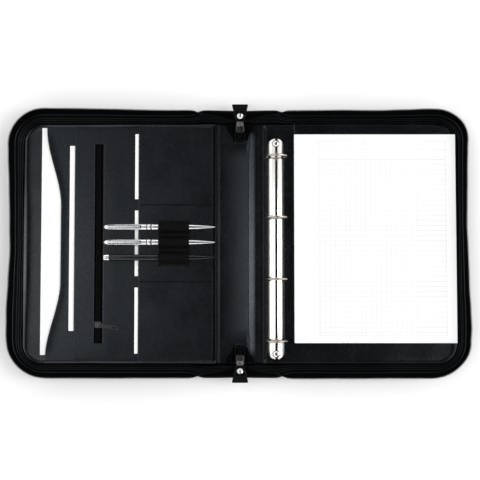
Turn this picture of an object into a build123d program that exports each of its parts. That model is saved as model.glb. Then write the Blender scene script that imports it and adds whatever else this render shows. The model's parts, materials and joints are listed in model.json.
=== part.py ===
from build123d import *
import os
from math import asin, degrees, sqrt

# An A4 zip-round portfolio case, lying open. X runs across the two covers, Y along the spine and
# Z up from the surface that the case lies on. The origin is the middle of the spine's outer face.
# Two cover panels fold up about the creases beside the spine. Everything is in millimetres.

# ---- driving dimensions -------------------------------------------------------------------
CREASE_X = 24.0          # each fold line, from the middle of the spine
SKIN = 1.2               # outer leatherette
BOARD = 2.4              # stiffening board
LINING = 0.6             # inner lining
COVER_IN = 27.0          # inner edge of a cover panel
COVER_OUT = 282.0        # outer edge of a cover's board
HALF_HEIGHT = 156.0      # half the board's length along the spine
CORNER = 24.0            # board corner radius
CORNER_FLARE = 1.25      # how fast that radius grows as the wall leans outwards
SPINE_HALF = 16.0        # half the width of the spine board
WALL = 1.6               # gusset wall, measured level
LEAN = 0.566             # how far the wall leans outwards for each millimetre of height
MEETING_GAP = 0.3        # each zip chain stops this short of the middle when the case is shut
TAPE_LOW = 16.0          # height where the gusset ends and the zip tape starts
CHAIN_LOW = 21.9         # height where the tape ends and the teeth start
RAMP_START = (30.0, 5.0)     # the wall's top edge climbs away from the spine, from here
RAMP_END_X = 66.0            # to full height here

FOLD_Z = SKIN
RIM_Z = FOLD_Z + CREASE_X - MEETING_GAP
BOARD_TOP = SKIN + BOARD
LINING_TOP = BOARD_TOP + LINING
FAR = 900.0              # larger than the case, for cutting blocks
LEFT, RIGHT = -1, 1

# papers and pockets on the left cover
SHEET_STACK = 0.8
POCKET_SKIN = 0.8
A4 = (210.0, 297.0)
SHEETS_LEFT = -260.0
SHEETS_MID_Y = 3.3
PANEL_IN = -34.0         # the pocket panels' edge beside the spine
PANEL_HALF = 155.0
DOC_EDGE_END = -253.0    # document pocket: mouth at its two ends
DOC_EDGE_MID = -234.0    # and across the finger cut-out
DOC_FLAT_HALF = 50.0     # the cut-out's deep stretch, half length
DOC_CURVE_HALF = 150.0   # where its S-curves end
SLIP_EDGE = -216.0
SLIP_SHEET = (26.35, 242.0, 0.3)    # it shows, and ends short of the zip
SLIP_SHEET_LEFT = -223.0
SLIP_SHEET_MID_Y = 7.0
CARD_EDGE = -132.4
CARD_LEFT = -137.2
CARD = (54.0, 85.6, 0.76)
CARD_PITCH = 100.5
CARD_SKIN = 0.6

# zip across the slip pocket
SLOT_X = -184.65
SLOT_WIDTH = 12.0
SLOT_HALF = 130.5
TAPE_CLEAR = 0.1         # round the tape, in its slot
CHAIN_SHORT = 2.0        # the chain stops this short of the slot's ends
POCKET_SLIDER_Y = -106.0
POCKET_TAPE = 0.4
POCKET_CHAIN_HALF = 2.9
POCKET_CHAIN_HIGH = 0.8

# pens in their elastic loops
PEN_PITCH = 19.8
PEN_MID_Y = 0.9
PEN_RADIUS = 4.2
PEN_TAIL_X = -176.5
PEN_TIP_X = -32.5
PEN_Z = 14.4
LOOP_CLEAR = 0.3
LOOP_WALL = 0.8
LOOP_X = (-106.0, -66.0)
LOOP_HALF = 30.0

# writing pad on the right cover, on its stiff holder panel
PAD_X = 70.8
PAD_Y = (-129.3, 142.0)
PAD_HOLDER = 2.4
PAD_HOLDER_TOP_Y = 157.5
PAD_HOLDER_CORNER = 30.0
PAD_BACKING = 0.8
PAD_BLOCK = 6.0
PAD_STRIP = 0.4          # gummed strip across the pad's head

# ring mechanism
RING_X = 47.0
RING_MID_Y = -6.7
RING_OFFSETS = (-120.0, -40.0, 40.0, 120.0)
RING_RADIUS = 13.4
RING_WIRE = 1.5
RING_Z = 15.6
RING_GAP = 0.1
BLADE_Z = 6.4
BLADE_THICK = 0.8
BLADE_OUT = 7.0
BLADE_PIVOT = 8.6
PLATE_HALF = 10.75
PLATE_LENGTH = 287.0
PLATE_TOP = 11.0
PLATE_THICK = 0.9
RIVET_OFFSET = 137.0
RIVET_SHAFT = 1.6
RIVET_CLEAR = 0.1

# zip end at each end of the spine: a strip that climbs outwards, with the slider and its pull
ZIP_END_Y = 133.0
ZIP_END_Z = 5.3
ZIP_SLOPE = 20.0
ZIP_END_LENGTH = 24.0
ZIP_END_WIDTH = 15.0
SLIDER_V = (13.0, 25.5)
PULL_PIVOT = (23.0, 5.0)     # along the slope, and out from it
TAB_V = (28.0, 50.5)
TAB_WIDTH = (12.0, 21.0)
TAB_THICK = 2.2
TAB_CORNER = 1.2
TAB_RIVET_V = 35.6
DOME_RADIUS = 6.8        # the rivet's domed ends
DOME_HIGH = 1.2

PARTS = {}


def node(name, *solids):
    """Keeps the solids of one named sub-part."""
    flat = []
    for shape in solids:
        flat += list(shape.solids())
    PARTS[name] = flat[0] if len(flat) == 1 else Compound(children=flat)


def block(x0, x1, y0, y1, z0, z1):
    """A box between two corners."""
    return Pos((x0 + x1) / 2, (y0 + y1) / 2, (z0 + z1) / 2) * Box(x1 - x0, y1 - y0, z1 - z0)


def along_x(radius, x0, x1, y, z):
    return Pos((x0 + x1) / 2, y, z) * Rot(0, 90, 0) * Cylinder(radius, x1 - x0)


def along_y(radius, y0, y1, x, z):
    return Pos(x, (y0 + y1) / 2, z) * Rot(90, 0, 0) * Cylinder(radius, y1 - y0)


def upright(radius, x, y, z0, z1):
    return Pos(x, y, (z0 + z1) / 2) * Cylinder(radius, z1 - z0)


def prism_xz(points, y0, y1):
    """A polygon in X and Z, extruded along Y."""
    face = make_face(Polyline(*[(x, 0, z) for x, z in points], close=True))
    return Pos(0, y0, 0) * extrude(face, y1 - y0, dir=(0, 1, 0))


def prism_yz(points, x0, x1):
    """A polygon in Y and Z, extruded along X."""
    face = make_face(Polyline(*[(0, y, z) for y, z in points], close=True))
    return Pos(x0, 0, 0) * extrude(face, x1 - x0, dir=(1, 0, 0))


# ---- the covers ----------------------------------------------------------------------------
def outline(grow, z):
    """The cover's outline at a height, grown all round. It runs on past the spine, to be cut off."""
    length = 2 * (COVER_OUT + grow)
    radius = CORNER + CORNER_FLARE * grow
    return Pos(0, 0, z) * RectangleRounded(length, 2 * (HALF_HEIGHT + grow), radius)


def cover_side(side, inner_x):
    """The half space on one side of the spine, outside inner_x."""
    x0, x1 = sorted((side * inner_x, side * FAR))
    return block(x0, x1, -FAR, FAR, -FAR, FAR)


def cover_slab(side, grow, z0, z1):
    return extrude(outline(grow, z0), z1 - z0) & cover_side(side, COVER_IN)


def lean_at(z):
    return LEAN * (z - SKIN)


def wall_slice(side, z0, z1):
    """One band of the leaning wall, open towards the spine, with its top edge ramped down to it."""
    shells = []
    for thick in (WALL, 0.0):
        low = outline(lean_at(z0) + thick, z0)
        high = outline(lean_at(z1) + thick, z1)
        shells.append(loft([low.face(), high.face()], ruled=True))
    x0, ramp_z = RAMP_START
    start_x = COVER_IN - 1
    corners = [(start_x, ramp_z), (x0, ramp_z), (RAMP_END_X, RIM_Z), (RAMP_END_X, FAR), (start_x, FAR)]
    over = prism_xz(corners, -FAR, FAR)
    if side == LEFT:
        over = mirror(over, about=Plane.YZ)
    return (shells[0] - shells[1]) & cover_side(side, COVER_IN) - over


def rivet_places():
    return [(RING_X, RING_MID_Y + dy) for dy in (-RIVET_OFFSET, RIVET_OFFSET)]


for side, word in ((LEFT, "left"), (RIGHT, "right")):
    board = cover_slab(side, 0.0, SKIN, BOARD_TOP)
    lining = cover_slab(side, 0.0, BOARD_TOP, LINING_TOP)
    if side == RIGHT:
        for x, y in rivet_places():
            hole = upright(RIVET_SHAFT + RIVET_CLEAR, x, y, 0, LINING_TOP + 1)
            board -= hole
            lining -= hole
    node(f"{word}_outer_skin", cover_slab(side, WALL, 0.0, SKIN))
    node(f"{word}_board", board)
    node(f"{word}_lining", lining)
    node(f"{word}_gusset", wall_slice(side, SKIN, TAPE_LOW))
    node(f"{word}_zip_tape", wall_slice(side, TAPE_LOW, CHAIN_LOW))
    node(f"{word}_zip_chain", wall_slice(side, CHAIN_LOW, RIM_Z))

# ---- the spine -----------------------------------------------------------------------------
SPINE_SKIN_HALF = HALF_HEIGHT + WALL
CREASE_SKIN = 1.0
CREASE_CLEAR = 0.3
SPINE_CLEAR = 0.1
node("spine_outer_skin", block(-SPINE_HALF, SPINE_HALF, -SPINE_SKIN_HALF, SPINE_SKIN_HALF, 0, SKIN))
node("spine_board", block(-SPINE_HALF, SPINE_HALF, -HALF_HEIGHT, HALF_HEIGHT, SKIN, BOARD_TOP))
node(
    "spine_lining",
    block(-SPINE_HALF, SPINE_HALF, -HALF_HEIGHT, HALF_HEIGHT, BOARD_TOP, LINING_TOP),
)
for side, word in ((LEFT, "left"), (RIGHT, "right")):
    x0, x1 = sorted((side * (SPINE_HALF + SPINE_CLEAR), side * (COVER_IN - CREASE_CLEAR)))
    crease = block(x0, x1, -SPINE_SKIN_HALF, SPINE_SKIN_HALF, 0, CREASE_SKIN)
    node(f"{word}_crease_skin", crease)

END_GUSSET_TOP = (170.0, 14.0)
END_GUSSET_HALF = 14.0
END_GUSSET_THICK = 1.4


def spine_end_gusset():
    """The low flared wall at one end of the spine."""
    y, z = END_GUSSET_TOP
    base_y = HALF_HEIGHT
    profile = [
        (base_y, SKIN),
        (base_y + WALL, SKIN),
        (y, z - END_GUSSET_THICK),
        (y, z),
        (y - END_GUSSET_THICK, z),
        (base_y, SKIN + END_GUSSET_THICK),
    ]
    return prism_yz(profile, -END_GUSSET_HALF, END_GUSSET_HALF)


# ---- main zip ends, sliders and pulls, drawn flat and then set on the slope ----------------
SLOPE_FRAME = Pos(0, ZIP_END_Y, ZIP_END_Z) * Rot(ZIP_SLOPE, 0, 0)
SLIDER_HALF = 5.0
SLIDER_HIGH = 3.0
CROWN_HALF = 1.1
PIN_RADIUS = 1.0
PIN_SLACK = 0.4
LINK_OUT = 3.8
LINK_IN = 1.7
LINK_THICK = 1.6


def main_zip_end():
    """The closed stretch of zip sewn down at the end of the spine."""
    strip = block(-ZIP_END_WIDTH / 2, ZIP_END_WIDTH / 2, 0, ZIP_END_LENGTH, -1.0, 0.0)
    teeth = block(-2.2, 2.2, 1.0, SLIDER_V[0] - 0.5, 0.0, 1.0)
    return strip + teeth


def main_slider():
    v0, v1 = SLIDER_V
    pivot_v, pivot_w = PULL_PIVOT
    body = block(-SLIDER_HALF, SLIDER_HALF, v0, v1, 0.0, SLIDER_HIGH)
    body = fillet(body.edges().filter_by(Axis.Z), 1.8)
    body = chamfer(body.faces().sort_by(Axis.Z)[-1].edges(), 0.6)
    crown = block(-CROWN_HALF, CROWN_HALF, v0 + 2, pivot_v + 2.2, SLIDER_HIGH - 0.5, pivot_w + 2.0)
    crown = chamfer(crown.faces().sort_by(Axis.Z)[-1].edges().filter_by(Axis.X), 1.2)
    eye = along_x(PIN_RADIUS + PIN_SLACK, -FAR / 100, FAR / 100, pivot_v, pivot_w)
    return body + crown - eye


def pull_link():
    """The metal link through the slider's crown, and the rivet that closes the tab."""
    pivot_v, pivot_w = PULL_PIVOT
    low = pivot_w - LINK_THICK / 2
    high = pivot_w + LINK_THICK / 2
    link = along_x(PIN_RADIUS - 0.2, -LINK_OUT, LINK_OUT, pivot_v, pivot_w)
    for side in (LEFT, RIGHT):
        x0, x1 = sorted((side * LINK_IN, side * LINK_OUT))
        link += block(x0, x1, pivot_v - 1.0, TAB_V[0], low, high)
    link += block(-LINK_OUT, LINK_OUT, TAB_V[0] - 1.4, TAB_V[0], low, high)
    tab_low = pivot_w - TAB_THICK / 2
    tab_high = pivot_w + TAB_THICK / 2
    shaft = upright(1.5, 0, TAB_RIVET_V, tab_low - 0.2, tab_high + 0.2)
    dome_v = (TAB_RIVET_V - DOME_RADIUS, TAB_RIVET_V + DOME_RADIUS)
    domes = []
    for z, up in ((tab_high, 1), (tab_low, -1)):
        ball = Pos(0, TAB_RIVET_V, z - up * (DOME_RADIUS - DOME_HIGH)) * Sphere(DOME_RADIUS)
        z0, z1 = sorted((z, z + up * DOME_RADIUS))
        domes.append(ball & block(-DOME_RADIUS, DOME_RADIUS, *dome_v, z0, z1))
    return [link, shaft + domes[0] + domes[1]]


def pull_tab():
    """The leather tab, wider at its free end."""
    v0, v1 = TAB_V
    near, far = TAB_WIDTH[0] / 2, TAB_WIDTH[1] / 2
    corners = [(-near, v0), (near, v0), (far, v1), (-far, v1)]
    face = make_face(Polyline(*corners, close=True))
    low = PULL_PIVOT[1] - TAB_THICK / 2
    tab = Pos(0, 0, low) * extrude(face, TAB_THICK, dir=(0, 0, 1))
    tab = fillet(tab.edges().filter_by(Axis.Z), TAB_CORNER)
    return tab - upright(1.6, 0, TAB_RIVET_V, low - 1, low + TAB_THICK + 1)


def set_on_slope(shapes, end):
    """Moves flat shapes to the top end of the spine, or mirrors them to the bottom end."""
    placed = [SLOPE_FRAME * shape for shape in shapes]
    if end == "bottom":
        placed = [mirror(shape, about=Plane.XZ) for shape in placed]
    return placed


for end in ("top", "bottom"):
    gusset = spine_end_gusset()
    if end == "bottom":
        gusset = mirror(gusset, about=Plane.XZ)
    node(f"{end}_end_gusset", gusset)
    node(f"{end}_zip_end", *set_on_slope([main_zip_end()], end))
    node(f"{end}_slider", *set_on_slope([main_slider()], end))
    node(f"{end}_pull_link", *set_on_slope(pull_link(), end))
    node(f"{end}_pull_tab", *set_on_slope([pull_tab()], end))

# ---- pockets on the left cover, from the lining up -----------------------------------------
doc_low = LINING_TOP
doc_skin_low = doc_low + SHEET_STACK
slip_low = doc_skin_low + POCKET_SKIN
slip_skin_low = slip_low + SLIP_SHEET[2]
card_low = slip_skin_low + POCKET_SKIN
card_skin_low = card_low + CARD[2]
card_top = card_skin_low + CARD_SKIN

sheets_y = (SHEETS_MID_Y - A4[1] / 2, SHEETS_MID_Y + A4[1] / 2)
sheets = block(SHEETS_LEFT, SHEETS_LEFT + A4[0], *sheets_y, doc_low, doc_skin_low)
node("document_sheets", sheets)


def document_pocket():
    """The largest pocket panel. Its mouth has a long finger cut-out with S-curved ends."""
    top, bottom = PANEL_HALF, -PANEL_HALF
    edge = [
        Line((PANEL_IN, bottom), (PANEL_IN, top)),
        Line((PANEL_IN, top), (DOC_EDGE_END, top)),
        Line((DOC_EDGE_END, top), (DOC_EDGE_END, DOC_CURVE_HALF)),
        Spline(
            (DOC_EDGE_END, DOC_CURVE_HALF),
            (DOC_EDGE_MID, DOC_FLAT_HALF),
            tangents=[(0, -1), (0, -1)],
        ),
        Line((DOC_EDGE_MID, DOC_FLAT_HALF), (DOC_EDGE_MID, -DOC_FLAT_HALF)),
        Spline(
            (DOC_EDGE_MID, -DOC_FLAT_HALF),
            (DOC_EDGE_END, -DOC_CURVE_HALF),
            tangents=[(0, -1), (0, -1)],
        ),
        Line((DOC_EDGE_END, -DOC_CURVE_HALF), (DOC_EDGE_END, bottom)),
        Line((DOC_EDGE_END, bottom), (PANEL_IN, bottom)),
    ]
    face = make_face(edge)
    return Pos(0, 0, doc_skin_low) * extrude(face, POCKET_SKIN, dir=(0, 0, 1))


node("document_pocket", document_pocket())

SLOT_X0 = SLOT_X - SLOT_WIDTH / 2
SLOT_X1 = SLOT_X + SLOT_WIDTH / 2
slip_w, slip_h, slip_t = SLIP_SHEET
slip_y = (SLIP_SHEET_MID_Y - slip_h / 2, SLIP_SHEET_MID_Y + slip_h / 2)
slip = block(SLIP_SHEET_LEFT, SLIP_SHEET_LEFT + slip_w, *slip_y, slip_low, slip_low + slip_t)
node("slip_sheet", slip)
slip_panel = block(SLIP_EDGE, PANEL_IN, -PANEL_HALF, PANEL_HALF, slip_skin_low, card_low)
slip_panel -= block(SLOT_X0, SLOT_X1, -SLOT_HALF, SLOT_HALF, slip_low, card_low + 1)
node("slip_pocket", slip_panel)

tape_half = SLOT_HALF - TAPE_CLEAR
chain_low = slip_low + POCKET_TAPE
chain_top = chain_low + POCKET_CHAIN_HIGH
chain_half = SLOT_HALF - CHAIN_SHORT
tape = block(SLOT_X0 + TAPE_CLEAR, SLOT_X1 - TAPE_CLEAR, -tape_half, tape_half, slip_low, chain_low)
node("pocket_zip_tape", tape)
chain_x = (SLOT_X - POCKET_CHAIN_HALF, SLOT_X + POCKET_CHAIN_HALF)
node("pocket_zip_chain", block(*chain_x, -chain_half, chain_half, chain_low, chain_top))

SLIDER_TOP = chain_top + 0.9
BAR_Z = SLIDER_TOP + 1.3
BAR_RADIUS = 0.55
EYE_IN = 0.85
EYE_OUT = 1.25
POCKET_SLIDER_HALF = 4.2
POCKET_SLIDER_LONG = 4.0


def pocket_slider():
    """A channel astride the chain, with a bar along the top for the puller."""
    y = POCKET_SLIDER_Y
    half = POCKET_SLIDER_HALF
    flange_low = slip_low + POCKET_TAPE + 0.3
    ends = (y - POCKET_SLIDER_LONG, y + POCKET_SLIDER_LONG)
    body = block(SLOT_X - half, SLOT_X + half, *ends, flange_low, SLIDER_TOP)
    body = fillet(body.edges().filter_by(Axis.Z), 1.0)
    inner = POCKET_CHAIN_HALF + 0.3
    body -= block(SLOT_X - inner, SLOT_X + inner, y - 9, y + 9, 0, chain_top + 0.3)
    body += along_y(BAR_RADIUS, y - 3.2, y + 3.2, SLOT_X, BAR_Z)
    for end in (-1, 1):
        mid = y + end * 2.8
        body += block(SLOT_X - 0.6, SLOT_X + 0.6, mid - 0.5, mid + 0.5, SLIDER_TOP - 0.2, BAR_Z)
    return body


PULLER_LENGTH = 27.0
PULLER_HALF = 2.6
PULLER_THICK = 0.8
PULLER_DROOP = 2.6
PULLER_SWING = -10.0


def pocket_puller():
    """A flat puller with a window in its free end and an eye round the slider's bar."""
    plate = block(1.0, PULLER_LENGTH, -PULLER_HALF, PULLER_HALF, -PULLER_THICK / 2, PULLER_THICK / 2)
    plate = fillet(plate.edges().filter_by(Axis.Z), 1.2)
    plate -= block(PULLER_LENGTH - 8.5, PULLER_LENGTH - 1.8, -1.4, 1.4, -2, 2)
    plate = Rot(0, 0, PULLER_SWING) * plate
    eye = along_y(EYE_OUT, -2.0, 2.0, 0, 0)
    bore = along_y(EYE_IN, -6, 6, 0, 0)
    whole = Rot(0, PULLER_DROOP, 0) * (plate + eye - bore)
    return Pos(SLOT_X, POCKET_SLIDER_Y, BAR_Z) * whole


node("pocket_slider", pocket_slider())
node("pocket_puller", pocket_puller())

card_w, card_h, card_t = CARD
one_card = block(CARD_LEFT, CARD_LEFT + card_w, -card_h / 2, card_h / 2, card_low, card_skin_low)
node("cards", *[Pos(0, row * CARD_PITCH, 0) * one_card for row in (-1, 0, 1)])
node("card_pocket", block(CARD_EDGE, PANEL_IN, -PANEL_HALF, PANEL_HALF, card_skin_low, card_top))

# ---- pens and their elastic loops ----------------------------------------------------------
PENS = (("upper", PEN_MID_Y + PEN_PITCH), ("middle", PEN_MID_Y), ("lower", PEN_MID_Y - PEN_PITCH))


def pen_loops():
    """One elastic band sewn down into three tubes."""
    x0, x1 = LOOP_X
    bore = PEN_RADIUS + LOOP_CLEAR
    band = block(x0, x1, -LOOP_HALF, LOOP_HALF, card_top, PEN_Z - bore + 0.1)
    for _, y in PENS:
        band += along_x(bore + LOOP_WALL, x0, x1, y, PEN_Z)
    for _, y in PENS:
        band -= along_x(bore, x0 - 1, x1 + 1, y, PEN_Z)
    return band


node("pen_loops", pen_loops())

PEN_JOIN_X = -112.0
PEN_TAPER_X = -80.0
PEN_NOSE = 0.6
CLIP_LENGTH = 44.0


def turned(points):
    """A solid turned about the X axis from (x, radius) points."""
    face = make_face(Polyline(*[(x, r, 0) for x, r in points], close=True))
    return revolve(face, Axis.X, 360)


for word, y in PENS:
    rear = turned(
        [
            (PEN_TAIL_X, 0),
            (PEN_TAIL_X, 1.6),
            (PEN_TAIL_X + 1.5, 2.8),
            (PEN_TAIL_X + 5, 3.6),
            (PEN_TAIL_X + 16, 4.0),
            (PEN_JOIN_X - 3, PEN_RADIUS),
            (PEN_JOIN_X, PEN_RADIUS),
            (PEN_JOIN_X, 0),
        ]
    )
    front = turned(
        [
            (PEN_JOIN_X, 0),
            (PEN_JOIN_X, 3.9),
            (PEN_TAPER_X, 3.9),
            (PEN_TAPER_X + 25, 2.9),
            (PEN_TIP_X - 4, 1.2),
            (PEN_TIP_X, PEN_NOSE),
            (PEN_TIP_X, 0),
        ]
    )
    clip_x = PEN_TAIL_X + 3
    clip = block(clip_x, clip_x + CLIP_LENGTH, -1.1, 1.1, 4.5, 5.3)
    clip += block(clip_x, clip_x + 1.6, -1.1, 1.1, 2.6, 5.3)
    clip -= rear
    place = Pos(0, y, PEN_Z)
    node(f"{word}_pen_barrel", place * rear)
    node(f"{word}_pen_front", place * front)
    node(f"{word}_pen_clip", place * clip)

# ---- writing pad ---------------------------------------------------------------------------
PAD_X1 = PAD_X + A4[0]
pad_low, pad_high = PAD_Y
backing_low = LINING_TOP + PAD_HOLDER
block_low = backing_low + PAD_BACKING
block_top = block_low + PAD_BLOCK
holder = block(PAD_X, PAD_X1, pad_low, PAD_HOLDER_TOP_Y, LINING_TOP, backing_low)
upright_edges = holder.edges().filter_by(Axis.Z)
far_corner = upright_edges.sort_by(lambda edge: edge.center().X + edge.center().Y)[-1]
node("pad_holder", fillet(far_corner, PAD_HOLDER_CORNER))
node("pad_backing", block(PAD_X, PAD_X1, pad_low, pad_high, backing_low, block_low))
node("pad_sheets", block(PAD_X, PAD_X1, pad_low, pad_high, block_low, block_top))
node("pad_head_strip", block(PAD_X, PAD_X1, pad_high, pad_high + PAD_STRIP, backing_low, block_top))

# ---- ring mechanism ------------------------------------------------------------------------
NOTCH_HALF = 2.6
NOTCH_IN = 6.9
NOTCH_TOP = 10.0


def ring_cover_plate():
    """The arched plate over the two blades, notched where the rings pass its edges."""
    rise = PLATE_TOP - LINING_TOP
    radius = (PLATE_HALF**2 + rise**2) / (2 * rise)
    centre_z = PLATE_TOP - radius
    half = PLATE_LENGTH / 2
    outside = along_y(radius, -half, half, 0, centre_z)
    inside = along_y(radius - PLATE_THICK, -half - 1, half + 1, 0, centre_z)
    plan = RectangleRounded(2 * PLATE_HALF, PLATE_LENGTH, PLATE_HALF - 0.5)
    arch = (outside - inside) & (Pos(0, 0, LINING_TOP) * extrude(plan, PLATE_TOP))
    for dy in RING_OFFSETS:
        for side in (LEFT, RIGHT):
            x0, x1 = sorted((side * NOTCH_IN, side * (PLATE_HALF + 2)))
            arch -= block(x0, x1, dy - NOTCH_HALF, dy + NOTCH_HALF, 0, NOTCH_TOP)
    for dy in (-RIVET_OFFSET, RIVET_OFFSET):
        arch -= upright(RIVET_SHAFT + RIVET_CLEAR, 0, dy, 0, PLATE_TOP + 1)
    return Pos(RING_X, RING_MID_Y, 0) * arch


def half_ring(side, dy):
    """One half of a ring: from the blade, out round the plate's edge and up to the top."""
    foot = degrees(asin((BLADE_Z - RING_Z) / RING_RADIUS))
    gap = degrees(RING_GAP / RING_RADIUS)
    path = CenterArc((0, 0, 0), RING_RADIUS, foot, 90 - gap - foot)
    end = path @ 0
    section = Plane(origin=end, z_dir=path % 0) * Circle(RING_WIRE)
    wire = sweep(section, path)
    wire = Rot(90, 0, 0) * wire
    if side == LEFT:
        wire = mirror(wire, about=Plane.YZ)
    return Pos(RING_X, RING_MID_Y + dy, RING_Z) * wire


def ring_blade(side):
    """The long inner plate that carries one side's half rings, with a tab out to each."""
    half = RIVET_OFFSET - 5.0
    low = BLADE_Z - BLADE_THICK / 2
    high = BLADE_Z + BLADE_THICK / 2
    x0, x1 = sorted((RING_X + side * 0.3, RING_X + side * BLADE_OUT))
    blade = block(x0, x1, RING_MID_Y - half, RING_MID_Y + half, low, high)
    foot_x = sqrt(RING_RADIUS**2 - (BLADE_Z - RING_Z) ** 2) - 0.4
    for dy in RING_OFFSETS:
        t0, t1 = sorted((RING_X + side * (BLADE_OUT - 0.5), RING_X + side * foot_x))
        y = RING_MID_Y + dy
        blade += block(t0, t1, y - 1.2, y + 1.2, low, high)
        blade -= half_ring(side, dy)
    return blade


node("ring_cover_plate", ring_cover_plate())
for side, word in ((LEFT, "left"), (RIGHT, "right")):
    node(f"{word}_ring_blade", ring_blade(side))
    node(f"{word}_ring_halves", *[half_ring(side, dy) for dy in RING_OFFSETS])

RIVET_HEAD = 3.9
RIVET_DOME = 5.6
plate = ring_cover_plate()
rivets = []
for x, y in rivet_places():
    shaft = upright(RIVET_SHAFT, x, y, SKIN, PLATE_TOP + 0.3)
    collar = upright(RIVET_SHAFT + 1.2, x, y, LINING_TOP, PLATE_TOP - PLATE_THICK - 0.6)
    head = Pos(x, y, PLATE_TOP - RIVET_DOME + 1.6) * Sphere(RIVET_DOME)
    head = head & upright(RIVET_HEAD, x, y, PLATE_TOP - 0.9, PLATE_TOP + 3)
    rivets.append(shaft + collar + (head - plate))
node("mechanism_rivets", *rivets)

# ---- write the sub-parts -------------------------------------------------------------------
os.makedirs("parts", exist_ok=True)
for name, shape in PARTS.items():
    export_step(shape, f"parts/{name}.step")
print(len(PARTS), "nodes, rim at", round(RIM_Z, 2), "blade pivot at", BLADE_PIVOT)
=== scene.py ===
import json
from math import cos, exp, pi, radians, sin, sqrt, tan

import bmesh
import bpy
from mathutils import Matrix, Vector, noise


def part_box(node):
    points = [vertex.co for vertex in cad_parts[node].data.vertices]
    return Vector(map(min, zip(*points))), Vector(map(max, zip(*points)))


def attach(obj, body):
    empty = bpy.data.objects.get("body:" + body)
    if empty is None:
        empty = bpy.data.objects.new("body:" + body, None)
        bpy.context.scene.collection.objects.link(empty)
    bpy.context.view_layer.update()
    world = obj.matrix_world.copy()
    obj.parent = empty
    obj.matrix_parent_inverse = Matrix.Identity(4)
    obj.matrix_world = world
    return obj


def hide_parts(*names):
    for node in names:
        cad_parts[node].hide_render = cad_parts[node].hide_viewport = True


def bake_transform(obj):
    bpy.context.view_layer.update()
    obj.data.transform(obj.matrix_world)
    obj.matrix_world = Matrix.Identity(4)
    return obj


# The looks of the open portfolio case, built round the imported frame. Lengths here are in
# millimetres, and turn into metres only where a mesh, a light or the camera is made.
MM = 0.001

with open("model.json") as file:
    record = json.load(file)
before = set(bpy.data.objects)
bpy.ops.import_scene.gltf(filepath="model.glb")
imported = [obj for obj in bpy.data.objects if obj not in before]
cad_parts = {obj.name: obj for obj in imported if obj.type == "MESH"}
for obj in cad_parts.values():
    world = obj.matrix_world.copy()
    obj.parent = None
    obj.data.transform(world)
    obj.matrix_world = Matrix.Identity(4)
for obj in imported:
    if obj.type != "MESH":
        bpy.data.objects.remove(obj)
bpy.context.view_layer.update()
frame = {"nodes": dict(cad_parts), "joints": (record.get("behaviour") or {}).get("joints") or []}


def corners(node):
    """A CAD node's lowest and highest corner, in millimetres."""
    low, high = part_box(node)
    return low / MM, high / MM


# ---- places taken from the frame ----
board_high = corners("right_board")[1]
skin_high = corners("right_outer_skin")[1]
chain_low, chain_high = corners("right_zip_chain")
COVER_OUT = board_high.x
HALF_HEIGHT = board_high.y
SKIN = skin_high.z
LINING_TOP = corners("right_lining")[1].z
WALL = skin_high.x - board_high.x
RIM_Z = chain_high.z
LEAN = (chain_high.x - COVER_OUT - WALL) / (RIM_Z - SKIN)
CHAIN_Z = chain_low.z + 1.2  # the middle of the zip's teeth
FOLD_X = next(j for j in frame["joints"] if j["name"] == "right_cover_fold")["pos_m"][0] / MM
CORNER = 24.0
CORNER_FLARE = 1.25      # how fast the corner's radius grows as the wall leans out
SPINE_EDGE = 14.0        # where the covers' cloth is joined to the spine's
LEFT, RIGHT = -1, 1
SIDES = ((LEFT, "left"), (RIGHT, "right"))
ENDS = ((1, "top"), (-1, "bottom"))
PENS = ("upper", "middle", "lower")
# The zips' teeth: how wide along the zip, how long from root to nose, and how deep.
MAIN_TOOTH, END_TOOTH, COIL_TOOTH = (1.25, 1.9, 2.2), (0.9, 1.9, 0.9), (0.85, 2.4, 0.9)
INNER, OUTER = "inner_leatherette", "outer_leatherette"      # two names; OUTER also names the outer cloth's material
UP = Vector((0, 0, 1))
SEWN_SMALL = (3.2, 2.2, 0.24)    # small stitches: pitch, length and thickness


# ---- small sums ----
def mix(a, b, share):
    return a + (b - a) * share


def ease(x, low, high):
    """0 below low, 1 above high, and smooth between them."""
    t = min(1.0, max(0.0, (x - low) / (high - low)))
    return t * t * (3 - 2 * t)


def eased(knots, x):
    """A smooth line through (place, value) knots."""
    for (x0, v0), (x1, v1) in zip(knots, knots[1:]):
        if x <= x1:
            return mix(v0, v1, ease(x, x0, x1))
    return knots[-1][1]


def bump(x, middle, width):
    return exp(-(((x - middle) / width) ** 2))


def run_x(places, y, z):
    """Points across the case, all at one y and height."""
    return [Vector((x, y, z)) for x in places]


def run_y(x, places, z):
    """Points along the spine's direction, all at one x and height."""
    return [Vector((x, y, z)) for y in places]


def rough(x, y, z, size, depth):
    """Smooth, repeatable unevenness of about that size and depth."""
    return depth * noise.noise(Vector((x / size, y / size, z / size + 7.3)))


def steps(a, b, step):
    """Evenly spaced values from a to b, about step apart."""
    count = max(1, round(abs(b - a) / step))
    return [mix(a, b, i / count) for i in range(count + 1)]


# ---- meshes ----
WELD = 0.002             # points closer than this are joined
STITCH = ((-0.5, 0.1), (-0.25, 0.9), (0.25, 0.9), (0.5, 0.1))    # a stitch's line: along, up


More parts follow.
